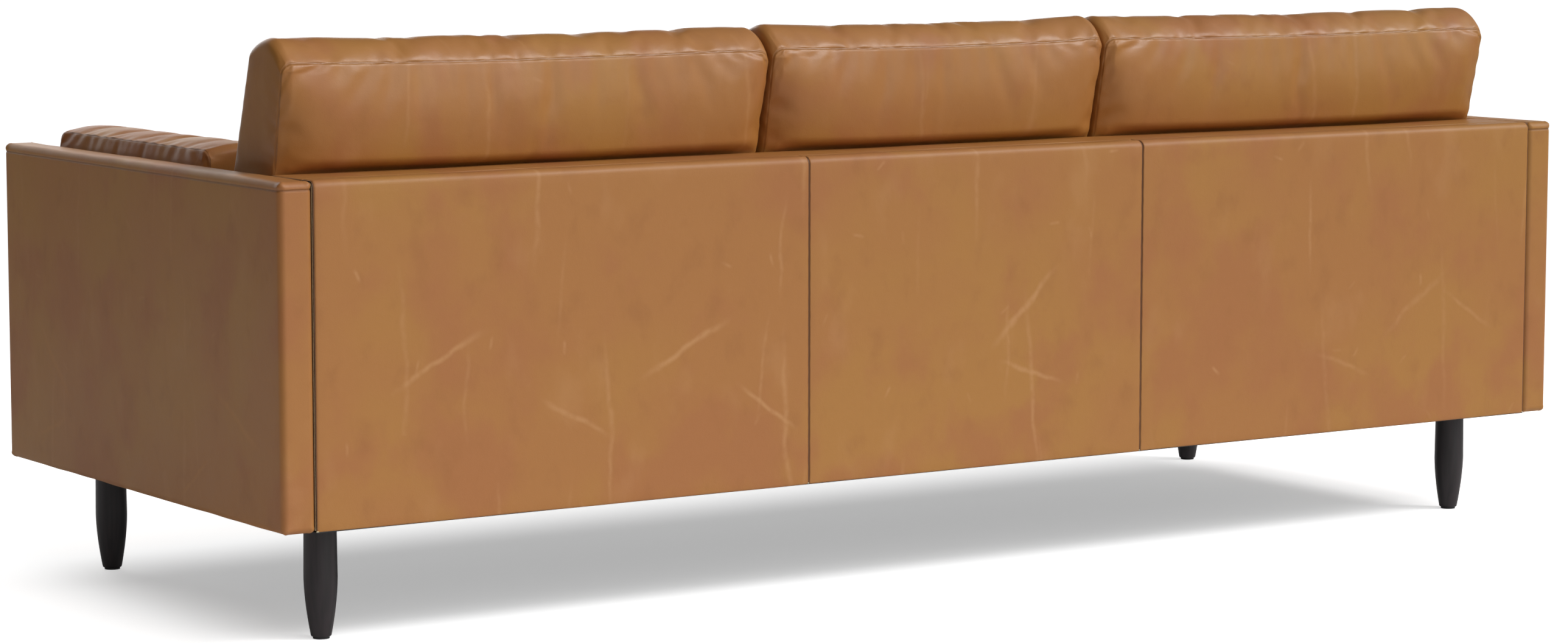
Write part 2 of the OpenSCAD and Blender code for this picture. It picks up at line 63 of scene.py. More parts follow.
# %% Read the frame's main planes
arm_low, arm_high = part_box("arm_cover_right")
rear_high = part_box("rear_panel_middle")[1]
back_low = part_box("inner_back_cover")[0]
FLOOR_GAP = arm_low.z                     # underside of the upholstered box
FRAME_TOP = arm_high.z                    # top of the arms and the back
HALF_DEPTH = arm_high.y
INNER_X = arm_low.x                       # inside face of the right arm
HALF_WIDTH = arm_high.x
SEAM_X = rear_high.x                      # vertical seam in the rear leather
DECK_Z = back_low.z
DECK_Y = back_low.y                       # foot of the inner back
CORNER = 0.011                            # rounding of the upholstered edges
BACK_TOP_Y = HALF_DEPTH - 0.135           # front edge of the back's top
LEAN = (BACK_TOP_Y - DECK_Y) / (FRAME_TOP - DECK_Z)
print("inner back leans", round(math.degrees(math.atan(LEAN)), 1), "degrees")


def inner_back_y(z):
    """Y of the inner back's surface at height z: a straight line that leans by LEAN."""
    return BACK_TOP_Y - (FRAME_TOP - z) * LEAN


# %% [markdown]
# ## The camera
# A long lens from behind the sofa's right arm, a little above the cushions. A camera looks along
# its own -Z axis, so its matrix is built from the three directions it needs: right, up and back.

# %% Place the camera
AZIMUTH, ELEVATION, ROLL = math.radians(146.153), math.radians(6.377), math.radians(0.039)
forward = Vector((-math.sin(AZIMUTH) * math.cos(ELEVATION),
                  math.cos(AZIMUTH) * math.cos(ELEVATION), -math.sin(ELEVATION)))
right = Vector((math.cos(AZIMUTH), math.sin(AZIMUTH), 0))
up = right.cross(forward)
turn = Matrix((right, up, -forward)).transposed().to_4x4()
camera_data = bpy.data.cameras.new("camera")
camera_data.lens = 96.49
camera_data.sensor_width = 36
camera = bpy.data.objects.new("camera", camera_data)
camera.matrix_world = (Matrix.Translation((3.823, 5.628, 1.1146)) @ turn
                       @ Matrix.Rotation(ROLL, 4, "Z"))
bpy.context.scene.collection.objects.link(camera)
bpy.context.scene.camera = camera

# %% [markdown]
# ## Floor and light
# A plain studio: a white sweep of floor, and a sky that is brighter behind the sofa and to its left,
# so that faces turned to the right fall into soft shade. Three suns with wide discs stand in for soft
# boxes, because a sun lights the far floor as well as the near, and a low lit card lifts the foot of
# the right arm. The floor also carries painted light that only the camera sees: a glow that makes it
# read white, dimmer over the sofa's footprint so that it paints the soft pale shadow under the sofa,
# without lighting the sofa from below.

# %% Make the floor
FOOTPRINT = (1.03, 0.20, 0.0)             # half sizes of the patch where the floor's glow is dimmer, which paints the shadow under the sofa
FADE = 0.30                               # width of the soft edge round that patch
GREYING = (2.0, 4.5)                      # distances at which the paint starts and ends greying
WHITE, GREY = 0.92, 0.12


def stage_floor(side=40.0, under=0.36, clear=0.76, far=0.24):
    """A square of 2 * side metres at z = 0. Its white paint turns grey over GREYING, so that the far
    floor throws little light back. Seen directly it also glows: by `under` in the footprint, rising
    to `clear` outside it, and by `far` more where it turns grey, which hides that."""
    mesh = bpy.data.meshes.new("floor")
    mesh.from_pydata([(-side, -side, 0), (side, -side, 0), (side, side, 0), (-side, side, 0)],
                     [], [(0, 1, 2, 3)])
    floor = bpy.data.objects.new("floor", mesh)
    bpy.context.scene.collection.objects.link(floor)
    paint = bpy.data.materials.new("studio_floor")
    paint.use_nodes = True
    nodes, links = paint.node_tree.nodes, paint.node_tree.links
    shader = nodes["Principled BSDF"]

    def reach(*steps):
        """Distance of the place from the origin, after the (operation, vector) steps."""
        out = nodes.new("ShaderNodeTexCoord").outputs["Object"]
        for operation, vector in (*steps, ("LENGTH", (0, 0, 0))):
            step = nodes.new("ShaderNodeVectorMath")
            step.operation = operation
            step.inputs[1].default_value = vector
            links.new(out, step.inputs[0])
            out = step.outputs["Value" if operation == "LENGTH" else "Vector"]
        return out

    def ramp(source, near, wide, start, end):
        """start up to the distance near, end from the distance wide on, and smooth between."""
        made = nodes.new("ShaderNodeMapRange")
        made.interpolation_type = "SMOOTHSTEP"
        for key, value in zip(("From Min", "From Max", "To Min", "To Max"),
                              (near, wide, start, end)):
            made.inputs[key].default_value = value
        links.new(source, made.inputs["Value"])
        return made.outputs[0]

    def joined(operation, first, second):
        """The sum or the product of two links."""
        made = nodes.new("ShaderNodeMath")
        made.operation = operation
        links.new(first, made.inputs[0])
        links.new(second, made.inputs[1])
        return made.outputs[0]

    from_middle = reach()
    outside = reach(("ABSOLUTE", (0, 0, 0)), ("SUBTRACT", FOOTPRINT), ("MAXIMUM", (0, 0, 0)))
    # painted light seen only by the camera: the glow makes the floor read white, and its lower level
    # `under` over the footprint paints the shadow under the sofa
    glow = joined("ADD", ramp(outside, 0.0, FADE, under, clear),
                  ramp(from_middle, *GREYING, 0.0, far))
    seen = nodes.new("ShaderNodeLightPath").outputs["Is Camera Ray"]
    links.new(joined("MULTIPLY", glow, seen), shader.inputs["Emission Strength"])
    links.new(ramp(from_middle, *GREYING, WHITE, GREY), shader.inputs["Base Color"])
    shader.inputs["Emission Color"].default_value = (1, 1, 1, 1)
    shader.inputs["Roughness"].default_value = 0.9
    shader.inputs["Specular IOR Level"].default_value = 0.0
    mesh.materials.append(paint)


stage_floor()


# %% Light the studio
def studio_sky(towards, bright, dim, sweep, glare):
    """World light that is bright on the side `towards` and dim on the other, with a round patch
    of strength `glare` in the direction `sweep`. The camera itself sees plain white."""
    world = bpy.data.worlds.new("studio")
    bpy.context.scene.world = world
    world.use_nodes = True
    nodes, links = world.node_tree.nodes, world.node_tree.links
    where = nodes.new("ShaderNodeTexCoord").outputs["Generated"]

    def glow(middle, spans):
        """spans is (dot product, strength) at the outer end and at the inner end."""
        facing = nodes.new("ShaderNodeVectorMath")
        facing.operation = "DOT_PRODUCT"
        facing.inputs[1].default_value = Vector(middle).normalized()
        links.new(where, facing.inputs[0])
        ramp = nodes.new("ShaderNodeMapRange")
        ramp.interpolation_type = "SMOOTHSTEP"
        for end, (dot, strength) in zip(("Min", "Max"), spans):
            ramp.inputs["From " + end].default_value = dot
            ramp.inputs["To " + end].default_value = strength
        links.new(facing.outputs["Value"], ramp.inputs["Value"])
        return ramp.outputs[0]

    total = nodes.new("ShaderNodeMath")
    links.new(glow(towards, ((-0.35, dim), (0.95, bright))), total.inputs[0])
    links.new(glow(sweep, ((0.94, 0.0), (0.99, glare))), total.inputs[1])
    pick = nodes.new("ShaderNodeMix")
    links.new(nodes.new("ShaderNodeLightPath").outputs["Is Camera Ray"], pick.inputs[0])
    links.new(total.outputs[0], pick.inputs[2])
    pick.inputs[3].default_value = 1.0
    links.new(pick.outputs[0], nodes["Background"].inputs["Strength"])
    nodes["Background"].inputs["Color"].default_value = (1, 1, 1, 1)


def wide_sun(name, towards, strength, disc):
    """A sun that stands in the direction `towards`; disc is its width in degrees."""
    data = bpy.data.lights.new(name, "SUN")
    data.energy = strength
    data.angle = math.radians(disc)
    lamp = bpy.data.objects.new(name, data)
    lamp.rotation_euler = Vector(towards).to_track_quat("Z", "Y").to_euler()
    bpy.context.scene.collection.objects.link(lamp)


def low_card(name, place, target, size, power):
    """A low lit card that stands at `place` and faces `target`; size is its width and height."""
    data = bpy.data.lights.new(name, "AREA")
    data.shape = "RECTANGLE"
    data.size, data.size_y = size
    data.energy = power
    lamp = bpy.data.objects.new(name, data)
    lamp.location = place
    lamp.rotation_euler = (Vector(place) - Vector(target)).to_track_quat("Z", "Y").to_euler()
    lamp.visible_camera = False
    bpy.context.scene.collection.objects.link(lamp)


studio_sky(towards=(-0.55, 0.80, 0.22), bright=0.74, dim=0.06,
           sweep=(-0.56, -0.82, 0.0), glare=1.8)
wide_sun("sky_sun", (-0.57, 0.52, 0.63), 1.25, 14)
wide_sun("rear_key", (-0.22, 0.88, 0.42), 0.62, 50)
wide_sun("front_fill", (-0.12, -0.97, 0.20), 0.95, 40)
low_card("right_card", (2.7, -1.1, 0.17), (1.17, 0.0, 0.25), (1.8, 0.30), 1.4)
bpy.context.scene.view_settings.view_transform = "Standard"

# %% [markdown]
# ## Writing shader maths as sums
# A material is a graph, and a graph is tedious to wire by hand. Two small classes let the patterns
# below read like formulas: `Value` wraps a socket and turns +, - and * into Math nodes, and
# `Finish` holds the material and adds any other node with one method.

# %% Wrap sockets so that arithmetic adds nodes
class Value:
    """A socket of a finish. Arithmetic with numbers or other values adds Math nodes."""

    def __init__(self, finish, socket):
        self.finish = finish
        self.socket = socket

    def _math(self, operation, first, second=0.0):
        return self.finish.node("ShaderNodeMath", {"operation": operation}, {0: first, 1: second})

    def __add__(self, other):
        return self._math("ADD", self, other)

    def __radd__(self, other):
        return self._math("ADD", other, self)

    def __sub__(self, other):
        return self._math("SUBTRACT", self, other)

    def __rsub__(self, other):
        return self._math("SUBTRACT", other, self)

    def __mul__(self, other):
        return self._math("MULTIPLY", self, other)

    def __rmul__(self, other):
        return self._math("MULTIPLY", other, self)

    def __abs__(self):
        return self._math("ABSOLUTE", self)

    def below(self, other):
        return self._math("LESS_THAN", self, other)

    def wave(self):
        return self._math("SINE", self)

    def cosine(self):
        return self._math("COSINE", self)

    def most(self, other):
        return self._math("MAXIMUM", self, other)

    def step(self, low, high):
        """0 below low, 1 above high, and a smooth rise between."""
        return self.finish.node("ShaderNodeMapRange", {"interpolation_type": "SMOOTHSTEP"},
                                {"Value": self, "From Min": low, "From Max": high})


class Finish:
    """A material being made. node() adds any node; the rest are the patterns used here."""

    def __init__(self, name):
        self.material = bpy.data.materials.new(name)
        self.material.use_nodes = True
        self.tree = self.material.node_tree
        self.shader = self.tree.nodes["Principled BSDF"]
        self.place = self.node("ShaderNodeTexCoord", out="Object")

    def node(self, kind, settings=None, inputs=None, out=0):
        """Adds a node: settings first, ramp stops among them, then its sockets."""
        made = self.tree.nodes.new(kind)
        for name, value in (settings or {}).items():
            setattr(made, name, value)
        for key, value in (inputs or {}).items():
            self.plug(made.inputs[key], value)
        return Value(self, made.outputs[out])

    def plug(self, socket, value):
        if isinstance(value, Value):
            self.tree.links.new(value.socket, socket)
        else:
            socket.default_value = value

    def stretched(self, factors, place=None):
        """The place vector with each axis multiplied by its factor."""
        return self.node("ShaderNodeVectorMath", {"operation": "MULTIPLY"},
                         {0: place or self.place, 1: factors})

    def noise(self, scale, detail=2.0, place=None):
        return self.node("ShaderNodeTexNoise", None,
                         {"Vector": place or self.place, "Scale": scale, "Detail": detail})

    def axes(self, vector=None):
        """The three parts of a vector as values."""
        split = self.node("ShaderNodeSeparateXYZ", None, {0: vector or self.place})
        return [Value(self, s) for s in split.socket.node.outputs]

    def flat(self, a, b):
        return self.node("ShaderNodeCombineXYZ", None, {0: a, 1: b})

    def blend(self, share, first, second):
        """A colour from first to second by share."""
        return self.node("ShaderNodeMix", {"data_type": "RGBA"},
                         {0: share, 6: first, 7: second}, out=2)

    def bump(self, height):
        """Normal for a height in metres."""
        return self.node("ShaderNodeBump", None, {"Height": height, "Distance": 1.0})

    def done(self, color, roughness, normal=None, **fixed):
        """Feeds the shader. Fixed sockets, such as Metallic or Coat_Weight, are set directly."""
        self.plug(self.shader.inputs["Base Color"], color)
        self.plug(self.shader.inputs["Roughness"], roughness)
        if normal is not None:
            self.plug(self.shader.inputs["Normal"], normal)
        for name, value in fixed.items():
            self.shader.inputs[name.replace("_", " ")].default_value = value
        return self.material


# %% [markdown]
# ## Leather
# Waxed pull-up leather is never one colour. Dye and wax pool into soft patches, the hide's growth
# shows as long pale streaks, and every knock leaves a light scratch. The layers are mottle at three
# sizes, pale patches, and three kinds of stroke scattered one to a cell: streaks, scuffs and nicks.
# A stroke is drawn from the distance to its cell's middle, turned by the cell's own random angle.
# All patterns use object coordinates in metres; `plane` says which two axes the strokes lie in.

# %% Define the leather
TAN = (0.388, 0.159, 0.037, 1)
OCHRE = (0.398, 0.176, 0.035, 1)
RUSSET = (0.372, 0.139, 0.038, 1)
UMBER = (0.318, 0.120, 0.026, 1)
PALE = (0.52, 0.262, 0.102, 1)
# colour of the painted shade that darkens each seam, where its groove lies
SEAM_SHADE_PAINT = (0.10, 0.036, 0.012, 1)


def scratches(finish, place, cells, length, width, tilt, spread, share):
    """Mask of soft strokes, one in each cell of a Voronoi pattern of `cells` to the metre: it
    falls from the stroke's middle line to `width` and towards `length`, in axes turned by tilt
    plus a random part of spread. The line wavers, and only a share of the cells has one."""
    cell = finish.node("ShaderNodeTexVoronoi", {"voronoi_dimensions": "2D"},
                       {"Vector": place, "Scale": cells, "Randomness": 0.9}, out="Position")
    chance = Value(finish, cell.socket.node.outputs["Color"])
    offset = finish.node("ShaderNodeVectorMath", {"operation": "SUBTRACT"}, {0: place, 1: cell})
    dx, dy, _ = finish.axes(offset)
    turned, kept, strength = finish.axes(chance)
    angle = tilt + (turned - 0.5) * spread
    across = dy * angle.cosine() - dx * angle.wave()
    along = dx * angle.cosine() + dy * angle.wave()
    waver = finish.noise(9.0, 3.0, place) - 0.5
    across = abs(across + waver * (width * 5.0))
    broken = finish.noise(60.0, 2.0, place).step(0.30, 0.60)
    stroke = (1 - across.step(0.0, width)) * (1 - abs(along).step(length * 0.3, length))
    return stroke * kept.below(share) * (0.3 + 0.7 * strength) * (0.45 + 0.55 * broken)


def leather(name, plane="xz", wear=1.0, painted_seam_shade=0.8, seam_width=0.0022, rough=0.44):
    """Mottled tan leather. Along the seam stored in the mesh as `seam`, the distance to the stitch
    line in metres, it paints a dark line of shade and presses a groove into the bump. Marks are
    strokes along the hide, scuffs across it, and nicks."""
    f = Finish(name)
    x, y, z = f.axes()
    a, b = {"xz": (x + 0.31 * y, z + 0.17 * y), "yz": (y + 0.29 * x, z + 0.13 * x),
            "xy": (x + 0.13 * z, y + 0.19 * z)}[plane]
    flat = f.flat(a, b)
    broad = f.noise(3.4, 3.0)
    middling = f.noise(8.0, 4.0, f.stretched((1.0, 1.0, 0.8)))
    cloudy = f.noise(24.0, 4.0, f.stretched((1.0, 1.0, 0.7)))
    color = f.blend(broad.step(0.40, 0.62), TAN, OCHRE)
    color = f.blend(middling.step(0.47, 0.66) * 0.85, color, RUSSET)
    color = f.blend(cloudy.step(0.52, 0.78) * 0.45, color, UMBER)
    light_patch = f.noise(13.0, 4.0, f.stretched((1.0, 1.0, 0.55)))
    color = f.blend(light_patch.step(0.56, 0.76) * 0.20, color, PALE)
    streak = scratches(f, flat, cells=3.1, length=0.17, width=0.0065, tilt=1.52, spread=0.14,
                       share=0.62)
    short_streak = scratches(f, flat, cells=5.3, length=0.09, width=0.0050, tilt=1.60,
                             spread=0.20, share=0.45)
    streak = streak.most(short_streak * 0.8)
    scuff = scratches(f, flat, cells=2.3, length=0.10, width=0.0075, tilt=2.62, spread=0.7,
                      share=0.40)
    cross_scuff = scratches(f, flat, cells=2.9, length=0.075, width=0.0060, tilt=0.50,
                            spread=0.6, share=0.30)
    scuff = scuff.most(cross_scuff)
    nick = scratches(f, flat, cells=8.5, length=0.013, width=0.0042, tilt=1.3, spread=2.8,
                     share=0.30)
    color = f.blend(streak * (0.50 * wear), color, PALE)
    color = f.blend(scuff * (0.75 * wear), color, PALE)
    color = f.blend(nick * (0.55 * wear), color, PALE)
    grain = f.node("ShaderNodeTexVoronoi", None, {"Vector": f.place, "Scale": 620.0})
    height = (grain.step(0.1, 0.75) * 0.00004 + f.noise(75.0, 2.0) * 0.00025
              + middling * 0.0010 - scuff * 0.00012)
    roughness = rough + middling * 0.10 + scuff * 0.10 + cloudy * 0.06
    seam = f.node("ShaderNodeAttribute", {"attribute_name": "seam"}, None, out="Fac")
    # painted shade: the colour darkens towards the seam line, standing in for shade in the seam's
    # groove; the same mask presses the groove into the bump
    line = 1 - abs(seam).step(seam_width * 0.25, seam_width)
    color = f.blend(line * painted_seam_shade, color, SEAM_SHADE_PAINT)
    return f.done(color, roughness, f.bump(height - line * 0.0006))


leather_rear = leather("leather_on_rear", "xz", painted_seam_shade=0.9, seam_width=0.0026)
leather_side = leather("leather_on_side", "yz", wear=0.4, painted_seam_shade=0.40)
leather_flat = leather("leather_on_seat", "xy", wear=0.6, painted_seam_shade=0.45)
leather_cushion = leather("leather_on_cushion", "xz", wear=0.7, painted_seam_shade=0.24, rough=0.33)
leather_pad = leather("leather_on_pad", "yz", wear=0.5, painted_seam_shade=0.35)
print("leathers made")

# %% [markdown]
# ## The other finishes
# The legs are a close-grained wood under a nearly black stain, so the grain shows mainly in the
# gloss. Rails are planed softwood. Foam, felt, webbing and cloth differ in their weave or cells,
# and steel parts in their brushed lines. Most of these are hidden until a cushion is pulled out.

# %% Define wood, board, cloth, foam and steel
def wood(name, dark, light, along, rings=26.0, rough=0.5, coat=0.0, depth=0.0001):
    """Grain: noise stretched along one axis, over wavy growth rings."""
    f = Finish(name)
    stretch = [1.0, 1.0, 1.0]
    stretch["xyz".index(along)] = 0.06
    fibre = f.noise(260.0, 3.0, f.stretched(tuple(stretch)))
    figure = f.noise(rings, 3.0, f.stretched(tuple(stretch)))
    ring = ((figure * 34.0).wave() * 0.5 + 0.5) * 0.6 + fibre * 0.4
    color = f.blend(ring, dark, light)
    normal = f.bump(fibre * depth)
    return f.done(color, rough + fibre * 0.12, normal, Coat_Weight=coat, Coat_Roughness=0.3)


def cloth(name, dark, light, threads, depth=0.00025, rough=0.9):
    """Plain weave: two crossed sine waves of `threads` to the metre, with uneven yarn."""
    f = Finish(name)
    x, y, z = f.axes()
    turn_by = 2 * math.pi * threads
    weave = ((x + z * 0.7) * turn_by).wave() * ((y + z * 0.7) * turn_by).wave() * 0.5 + 0.5
    fuzz = f.noise(420.0, 2.0)
    color = f.blend(weave * 0.6 + fuzz * 0.4, dark, light)
    return f.done(color, rough, f.bump(weave * depth + fuzz * depth), Sheen_Weight=0.1)


def fibres(name, dark, light, scale, depth=0.0004):
    """Foam, felt and nonwoven: open cells over a soft cloudiness."""
    f = Finish(name)
    cells = f.node("ShaderNodeTexVoronoi", None, {"Vector": f.place, "Scale": scale})
    cloud = f.noise(scale * 0.06, 3.0)
    color = f.blend(cells.step(0.1, 0.8) * 0.5 + cloud * 0.5, dark, light)
    return f.done(color, 0.92, f.bump(cells * depth))


def steel(name, dark, light, rough):
    """Drawn or plated steel: fine lines, and a slight cloud in the plating."""
    f = Finish(name)
    lines = f.noise(900.0, 2.0, f.stretched((0.05, 1.0, 1.0)))
    cloud = f.noise(60.0, 2.0)
    color = f.blend(cloud, dark, light)
    return f.done(color, rough + lines * 0.15, f.bump(lines * 0.00002), Metallic=1.0)


SLOT_FINISH = {
    "frame_timber": wood("planed_softwood", (0.42, 0.26, 0.13, 1), (0.66, 0.46, 0.27, 1), "x"),
    "hardboard": fibres("pressed_hardboard", (0.20, 0.11, 0.055, 1), (0.33, 0.20, 0.11, 1), 500.0),
    "foam": fibres("seat_foam", (0.70, 0.60, 0.34, 1), (0.90, 0.82, 0.56, 1), 320.0),
    "fibre_fill": fibres("fibre_filling", (0.74, 0.73, 0.70, 1), (0.93, 0.92, 0.90, 1), 150.0),
    "webbing": cloth("elastic_webbing", (0.02, 0.018, 0.016, 1), (0.10, 0.09, 0.08, 1), 500.0),
    "felt": fibres("needled_felt", (0.22, 0.21, 0.20, 1), (0.42, 0.41, 0.39, 1), 420.0),
    "deck_cloth": cloth("deck_lining", (0.16, 0.085, 0.04, 1), (0.29, 0.16, 0.08, 1), 700.0),
    "dust_cloth": fibres("dust_cloth", (0.012, 0.012, 0.012, 1), (0.05, 0.05, 0.05, 1), 900.0),
    "zinc_steel": steel("zinc_plate", (0.50, 0.50, 0.47, 1), (0.70, 0.70, 0.69, 1), 0.32),
    "spring_wire": steel("spring_wire", (0.22, 0.22, 0.23, 1), (0.38, 0.38, 0.40, 1), 0.38),
    "glide_plastic": fibres("glide_plastic", (0.02, 0.02, 0.02, 1), (0.04, 0.04, 0.04, 1), 1200.0),
    "leg_wood": wood("stained_leg_wood", (0.007, 0.0045, 0.005, 1), (0.022, 0.014, 0.016, 1), "z",
                     rings=40.0, rough=0.42, coat=0.10),
    "leather": leather_rear,
}
for row in frame["record"]["subparts"]:
    skin = frame["nodes"][row["node"]].data
    skin.materials.clear()
    skin.materials.append(SLOT_FINISH[row["material_slot"]])
print(len(SLOT_FINISH), "slots have a finish")


# %% [markdown]
# ## Two ways to make a surface
# A **lattice skin** is the outside of a box of grid points, whose points are then moved: that makes
# closed lumps such as arms and cushions. A **band** is a profile carried along the sofa and given a
# thickness: that makes leather pulled over an edge. Both are whole arrays, with no loop over points.

# %% Build meshes from arrays
def volume(p, quads):
    """Enclosed volume: a sixth of the sum of p0 . (p1 x p2) over the triangles. It is positive
    when the faces point outwards."""
    a, b, c, d = (p[quads[:, i]] for i in range(4))
    return float((a * (np.cross(b, c) + np.cross(c, d))).sum() / 6)


def add_seam(piece, distance):
    """Stores each point's distance to its nearest seam, along which the leather paints a dark line of
    shade.
    """
    attribute = piece.data.attributes.new("seam", "FLOAT", "POINT")
    attribute.data.foreach_set("value", distance.astype(np.float32))


def add_piece(name, points, quads, material):
    """An object with that mesh, its place in its points, shaded smooth. Quads that enclose a
    negative volume are turned over."""
    if volume(points, quads) < 0:
        quads = quads[:, ::-1]
    mesh = bpy.data.meshes.new(name)
    mesh.from_pydata(points.tolist(), [], quads.tolist())
    mesh.materials.append(material)
    mesh.polygons.foreach_set("use_smooth", np.ones(len(quads), bool))
    mesh.update()
    piece = bpy.data.objects.new(name, mesh)
    bpy.context.scene.collection.objects.link(piece)
    return piece


def lattice_skin(x, y, z):
    """Points and outward quads of the surface of the lattice x by y by z. Points that two faces
    share are one point, so the skin is closed."""
    size = (len(x), len(y), len(z))
    ids = np.arange(np.prod(size)).reshape(size)
    faces = []
    for axis in range(3):
        for side in (0, -1):
            sheet = np.take(ids, side, axis=axis)
            quad = np.stack([sheet[:-1, :-1], sheet[1:, :-1], sheet[1:, 1:], sheet[:-1, 1:]], -1)
            quad = quad.reshape(-1, 4)
            faces.append(quad[:, ::-1] if (side == 0) != (axis == 1) else quad)
    used, quads = np.unique(np.concatenate(faces), return_inverse=True)
    i, j, k = np.unravel_index(used, size)
    return np.stack([x[i], y[j], z[k]], 1), quads.reshape(-1, 4)


def grid_line(low, high, r, step):
    """Grid coordinates from low to high, about `step` apart, with five lines in each rounded
    end: low + r - r tan(t) for t from 45 degrees to 0, so that the rounding's steps are even."""
    bend = r * np.tan(np.linspace(math.pi / 4, 0, 6))
    middle = np.linspace(low + r, high - r, max(3, round((high - low - 2 * r) / step) + 1))
    return np.concatenate([low + r - bend[:-1], middle, high - r + bend[:-1][::-1]])


def rounded_points(p, low, high, r):
    """Pushes box points onto a rounded box: core + r * (p - core) / |p - core|, where core is
    p held r inside the box."""
    core = np.clip(p, np.array(low) + r, np.array(high) - r)
    away = p - core
    length = np.linalg.norm(away, axis=1, keepdims=True)
    return core + r * away / length, away / length


def wobble(p, scale, seed):
    """Smooth noise from -1 to 1: the mean of six sine waves in random directions."""
    random = np.random.default_rng(seed)
    waves = random.normal(size=(6, 3)) * scale
    phase = random.uniform(0, 2 * np.pi, 6)
    return np.sin(p @ waves.T + phase).mean(1) * 1.6


# %% [markdown]
# ## Arms
# Each arm is a thin timber frame with leather pulled tight over 5 mm of foam. The leather is one
# rounded slab. It swells by about a millimetre between its edges and never lies dead flat, which
# is what catches the light along a real arm; a seam runs round it just below its top.

# %% Make the two arm covers
ARM_SEAM = 0.013                          # top of the arm down to its seam
SEAM_DEPTH, SEAM_WIDTH = 0.0008, 0.0016
ARM_SLACK = 0.0006                        # how far inside its slab the skin lies at its edges
ARM_PADDING = 0.0020                      # how far it stands out again at a corner
EVEN = 0.577                              # each part of a unit normal that shares them equally


def arm_cover(name, side):
    """A rounded slab, drawn in by ARM_SLACK. Its big faces move out again by (1 - u^6)(1 - v^6)
    times that slack and a slow wobble, u and v running from -1 to 1 over the face. A groove
    exp(-(d / SEAM_WIDTH)^2) marks the seam that runs round the arm at ARM_SEAM below its top. Each
    of the eight corners stands out by a padding that grows with the least of the normal's three
    parts, because the foam's corners are sharper."""
    low, high = (np.array(corner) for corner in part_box(name))
    seam_z = high[2] - ARM_SEAM
    x = grid_line(low[0], high[0], CORNER, 0.006)
    y = grid_line(low[1], high[1], CORNER, 0.012)
    z = grid_line(low[2], high[2], CORNER, 0.012)
    z = np.unique(np.round(np.append(z, seam_z + np.linspace(-0.004, 0.0015, 8)), 5))
    p, quads = lattice_skin(x, y, z)
    p, out = rounded_points(p, low, high, CORNER)
    u = (2 * p - low - high) / (high - low)
    swell = (1 - np.abs(u[:, 1]) ** 6) * (1 - np.abs(u[:, 2]) ** 6)
    upright = np.abs(out[:, 2]) < 0.3
    seam = np.where(upright, np.abs(p[:, 2] - seam_z), 0.05)
    groove = SEAM_DEPTH * np.exp(-(seam / SEAM_WIDTH) ** 2)
    padding = ARM_PADDING * np.clip(np.abs(out).min(axis=1) / EVEN, 0, 1)
    p = p - out * (ARM_SLACK + groove - padding)[:, None]
    p[:, 0] += out[:, 0] * swell * (ARM_SLACK + 0.0006 * wobble(p, 8.0, 5 + side))
    p[:, 2] += out[:, 2] * 0.0005 * wobble(p, 26.0, 9)
    piece = add_piece(f"arm_leather_{'right' if side > 0 else 'left'}", p, quads, leather_side)
    add_seam(piece, seam)
    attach(piece, "frame")
    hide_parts(name)
    return piece


for arm_name, arm_side in (("arm_cover_right", 1), ("arm_cover_left", -1)):
    made = arm_cover(arm_name, arm_side)
    print(made.name, len(made.data.polygons), "quads")


# %% [markdown]
# ## Leather on the back, the front and the top
# The back's skin is sewn from strips that each wrap an edge: three rear panels that roll over the
# top, one piece down the inner back, and the front border that turns over onto the deck. Each is a
# band: a profile in the Y-Z plane, offset inwards for its thickness and carried along X. Near its
# ends the band dives inwards on a quarter circle, and that groove, together with the shade that the
# leather paints along it, draws the dark line of a seam.

# %% Make a band from a profile
FOAM_AT = 0.0018                          # the foam lies this deep, so no groove goes deeper
RIPPLE = 0.0005                           # slow waves in the leather
PUCKER, PUCKER_REACH, STITCH = 0.0004, 0.012, 0.0032


def arc(centre, r, start, end, steps=6):
    """Points of an arc from angle start to end, in degrees."""
    t = np.radians(np.linspace(start, end, steps + 1))
    return np.stack([centre[0] + r * np.cos(t), centre[1] + r * np.sin(t)], 1)


def run(a, b, step):
    """Evenly spaced points from a to b, without b."""
    a, b = np.array(a, float), np.array(b, float)
    count = max(1, round(float(np.linalg.norm(b - a)) / step))
    return a + (b - a) * np.linspace(0, 1, count + 1)[:-1, None]


